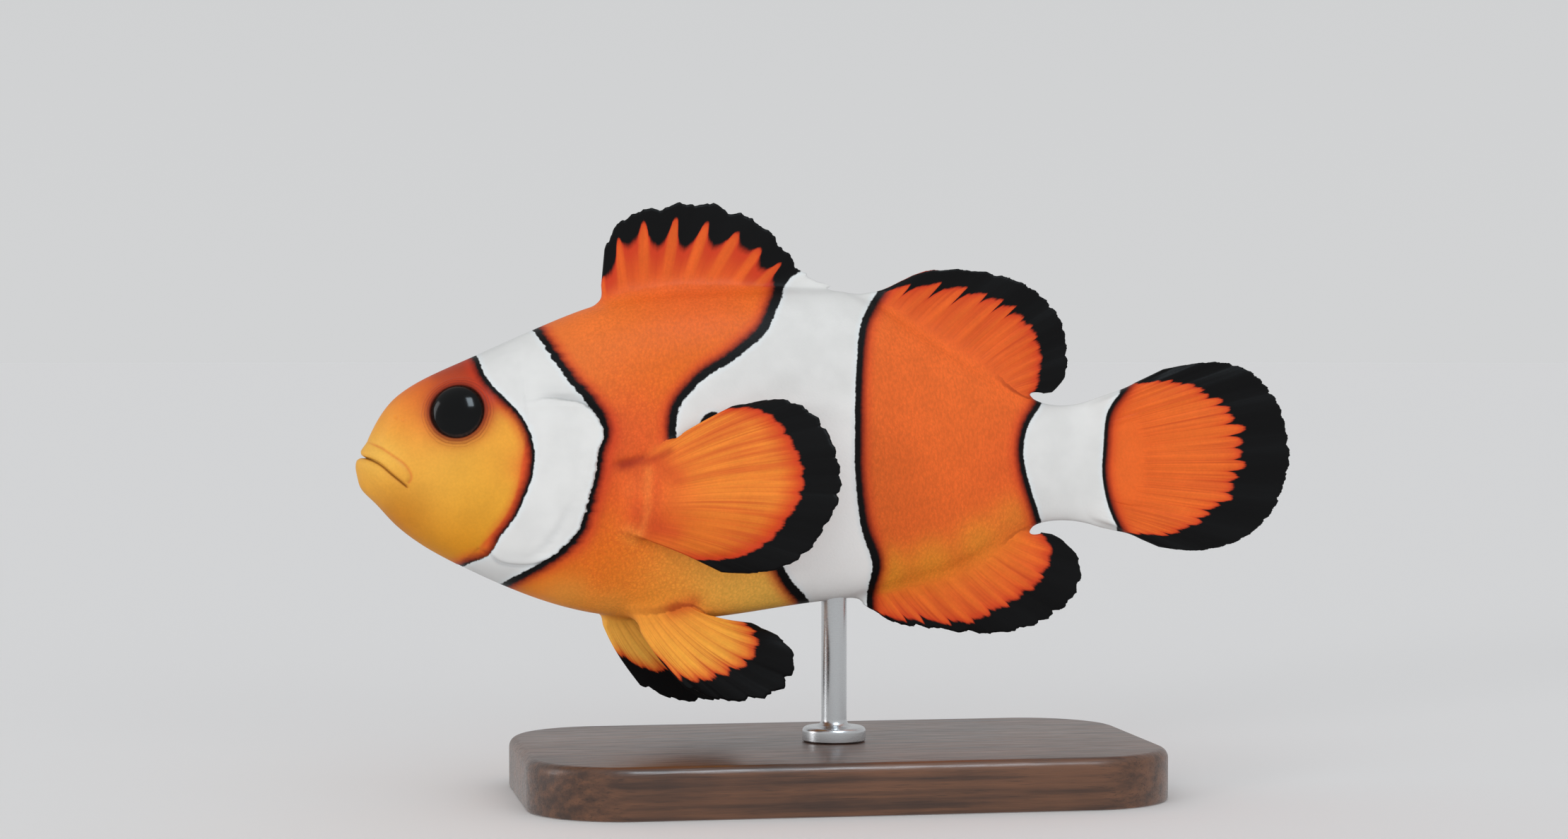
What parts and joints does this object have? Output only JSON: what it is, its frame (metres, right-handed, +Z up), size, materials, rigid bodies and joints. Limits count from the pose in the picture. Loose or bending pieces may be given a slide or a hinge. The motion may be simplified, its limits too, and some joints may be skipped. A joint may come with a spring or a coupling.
{
  "type": "clownfish",
  "caption": "Life-size orange clownfish with white bands and black-edged fins, held in its swimming pose by a rod on a flat display base.",
  "frame": {"origin": "on the floor, at the middle of the model seen from above", "axes": "+Z up; the fish faces -X and its left side faces -Y"},
  "size_m": [0.09, 0.034, 0.0557],
  "materials": {
    "orange_skin": "satin skin, deep orange",
    "yellow_skin": "satin skin, yellow orange",
    "white_skin": "satin skin, white",
    "fin_web": "satin fin, orange with a black edge",
    "eye_gloss": "glossy black eye",
    "dark_wood": "satin dark walnut",
    "steel": "brushed steel"
  },
  "bodies": {
    "root": {"head": "yellow_skin", "lower_jaw": "yellow_skin", "gill_cover_left": "white_skin", "gill_cover_right": "white_skin", "eye_left": "eye_gloss", "eye_right": "eye_gloss", "trunk": "orange_skin", "tail_stem": "white_skin", "tail_fin": "fin_web", "dorsal_fin_spiny": "fin_web", "dorsal_fin_soft": "fin_web", "anal_fin": "fin_web", "pectoral_fin_left": "fin_web", "pectoral_fin_right": "fin_web", "pelvic_fin_left": "fin_web", "pelvic_fin_right": "fin_web", "stand_base": "dark_wood", "stand_rod": "steel"}
  },
  "joints": []
}
